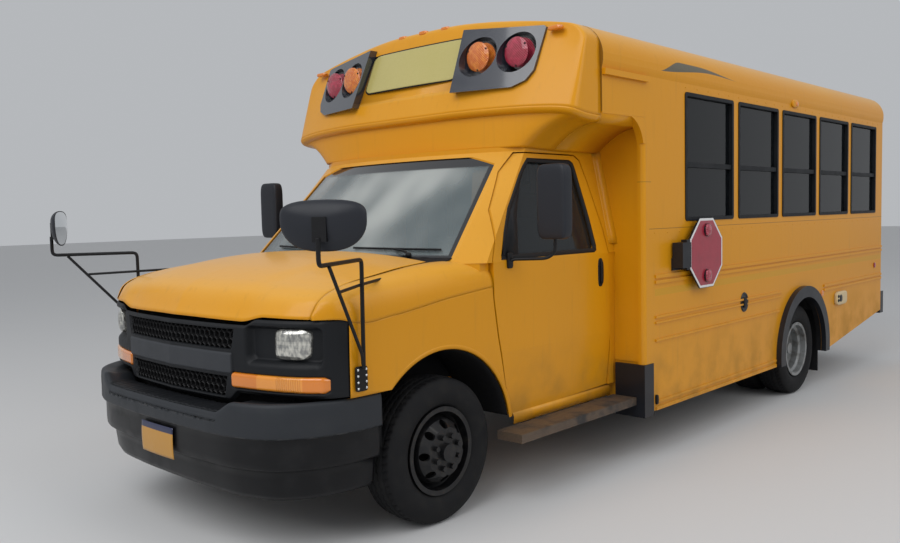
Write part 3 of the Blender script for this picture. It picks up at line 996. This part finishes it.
for name, node, body, x, y in TYRES:
    skin = points_at(ox + rings + x, y + cut * np.cos(spin), TYRE_R + cut * np.sin(spin))
    surface(name, skin, rubber, body, "tyre_rubber", round_u=True, round_v=True, flip=True,
            instead=[node] if node else ())

# Wheels and running gear: pressed steel discs, black in front and silver behind, over a black chassis with
# road dust on what faces up.
iron = mottled("black_wheel_enamel", (0.018, 0.019, 0.021), 0.30, 0.35, 18, 4, Coat_Weight=0.3, **DULL)
iron.colour(iron.noise(22, 5).within(0.45, 0.8) * 0.5, (0.006, 0.006, 0.007), (0.035, 0.032, 0.028))
chassis = mottled("dusty_chassis_black", (0.02, 0.02, 0.02), 0.5, 0.3, 12, 4, **DULL)
chassis.colour(chassis.noise(8, 5).within(0.4, 0.75), (0.007, 0.007, 0.008), (0.040, 0.034, 0.028))
pipe_steel = Finish("exhaust_steel", (0.20, 0.17, 0.14), 0.5, 0.8)
pipe_steel.colour(pipe_steel.noise(10, 5), (0.10, 0.06, 0.04), (0.30, 0.27, 0.24))
silver = mottled("grey_wheel_enamel", (0.26, 0.27, 0.27), 0.36, 0.3, 16, 4, metallic=0.5)
silver.colour(silver.noise(16, 5).within(0.4, 0.8), (0.30, 0.31, 0.31), (0.12, 0.11, 0.10))
wear(iron, "rim_front_left", "rim_front_right")
wear(chassis, "frame_rails", "front_suspension", "leaf_springs", "rear_axle", "engine_block", "fuel_tank",
     "knuckle_left", "knuckle_right")
wear(pipe_steel, "exhaust")
wear(silver, "rims_rear_left", "rims_rear_right")

# Running board and lower trim: a worn brown board beside the cab, rubber mud flaps, black arch flares and the
# black corner panels, all bolted on. The window frames and dashboard are of the nose's grained plastic.
board = Finish("worn_board", (0.085, 0.055, 0.035))
grain_lines = board.noise(22, 4, (5.0, 0.6, 5.0))
scuffed = board.noise(9, 5).within(0.42, 0.72)
grained = board.mix(grain_lines, (0.050, 0.034, 0.024), (0.135, 0.090, 0.055))
board.colour(scuffed, grained, (0.030, 0.028, 0.027))
board.set("Roughness", 0.6 + scuffed * 0.25)
board.bump(grain_lines, 0.002)
flare_black = mottled("flare_black", (0.010, 0.011, 0.015), 0.32, 0.25, 10, 4, Coat_Weight=0.3, **DULL)
wear(board, "running_board")
wear(rubber_seal, "mud_flaps")
wear(flare_black, "wheel_flares", "lower_corners", "stop_bracket", "stop_sign", "rear_bumper")
wear(trim, "window_frames", "dashboard", "steering_wheel")

# Seats: high-backed benches of foam under dark blue vinyl on painted tube frames. Each cushion and back is a
# crowned pad whose sides pull in between its corners, with piping round its edge.
FIRST_BENCH, BENCH_GAP = 2.550, 0.700
vinyl = Finish("blue_seat_vinyl", (0.035, 0.045, 0.085), Sheen_Weight=0.1)
leather_grain = vinyl.noise(320, 2)
vinyl.colour(vinyl.noise(5, 3), (0.030, 0.040, 0.080), (0.050, 0.060, 0.100))
vinyl.set("Roughness", 0.42 + leather_grain * 0.2)
vinyl.bump(leather_grain, 0.0006)


def pads(name, boxes, instead=()):
    """Padded blocks: each is a rounded box whose faces swell by the product of two cosines across them, and
    whose edges carry a thin ridge of piping."""
    unit = rounded(0.35, 36, 25)
    swell = np.prod(np.cos(unit * 1.2)[..., [[1, 2], [2, 0], [0, 1]]], -1)
    shape = (unit * (0.93 + 0.10 * np.minimum(swell * 1.6, 1.0))).reshape(-1, 3)
    faces = quads(*unit.shape[:2], round_u=True).reshape(-1, 4)
    low, high = np.moveaxis(np.array(boxes), 1, 0)[:, :, None]
    corners = (low + high) / 2 + shape * (high - low) / 2
    faces = np.concatenate([faces + k * len(shape) for k in range(len(boxes))])
    made = piece(name, corners.reshape(-1, 3), faces, vinyl, "bus", instead=instead)


benches = [(side, FIRST_BENCH + BENCH_GAP * k) for side in (1, -1) for k in range(5)]
ends = {1: (0.230, 1.150), -1: (-1.150, -0.230)}
pads("bench_cushions", [((ends[s][0], y, 1.050), (ends[s][1], y + 0.405, 1.155)) for s, y in benches],
     ["bench_seats"])
pads("bench_backs", [((ends[s][0], y + 0.395, 1.060), (ends[s][1], y + 0.475, 1.700)) for s, y in benches])
pads("driver_cushion", [((0.250, 0.900, 0.830), (0.750, 1.405, 0.965))], ["driver_seat"])
pads("driver_backrest", [((0.255, 1.395, 0.840), (0.745, 1.500, 1.500))])
pads("driver_headrest", [((0.380, 1.400, 1.505), (0.620, 1.495, 1.650))])
for k, (side, y) in enumerate(benches):
    x_in = side * 0.305
    tube(f"bench_leg_{k}", ((x_in, y + 0.080, 0.705), (x_in, y + 0.080, 1.020), (x_in, y + 0.180, 1.045),
                            (x_in, y + 0.400, 1.045)), 0.014, tube_black, "black_paint", count=8)
    tube(f"bench_rail_{k}", [(x, y + 0.200, 1.045) for x in (x_in, side * 0.70, side * 1.168)], 0.014,
         tube_black, "black_paint", count=8)
lozenge("driver_pedestal", (0.500, 1.150, 0.735), (0.190, 0.190, 0.093), 0.25, trim, "black_plastic")

# Floor: a ribbed dark rubber mat bonded over the plywood, from the entrance to the rear door.
floor_mat = mottled("ribbed_floor_mat", (0.03, 0.03, 0.03), 0.6, 0.25, 30, 3)
floor_mat.colour(floor_mat.noise(6, 4), (0.020, 0.020, 0.021), (0.050, 0.048, 0.045))
floor_mat.bump((floor_mat.axis("X") * 500).maths("SINE"), 0.0015)
wear(floor_mat, "body_floor")

# Studio: a pale plain floor, broad soft lamps ahead and to the driver's side, and an even sky. The floor is
# one large square sheet, and it isn't a part of the bus.
FLOOR_HALF = 60
ground = mottled("pale_floor", (0.62, 0.62, 0.62), 0.85, 0.1, 2)
floor_mesh = bpy.data.meshes.new("studio_floor")
corners = ((-1, -1), (1, -1), (1, 1), (-1, 1))
floor_mesh.from_pydata([(FLOOR_HALF * x, FLOOR_HALF * y, 0) for x, y in corners], [], [(0, 1, 2, 3)])
floor_mesh.materials.append(ground.material)
studio_floor = bpy.data.objects.new("studio_floor", floor_mesh)
bpy.context.scene.collection.objects.link(studio_floor)

world = bpy.data.worlds.new("studio")
bpy.context.scene.world = world
world.use_nodes = True
sky = world.node_tree.nodes["Background"]
sky.inputs["Color"].default_value = (0.93, 0.96, 1.0, 1)
sky.inputs["Strength"].default_value = 0.50

for name, place, turned, size, watts in (("key", (1.5, -9.0, 8.0), (50, 0, 8), 8.0, 560),
                                         ("side", (9.0, 1.0, 7.0), (52, 0, 80), 8.0, 300)):
    light = bpy.data.lights.new(name, "AREA")
    light.size, light.energy = size, watts
    lamp = bpy.data.objects.new(name, light)
    lamp.location = place
    lamp.rotation_euler = np.radians(turned)
    bpy.context.scene.collection.objects.link(lamp)
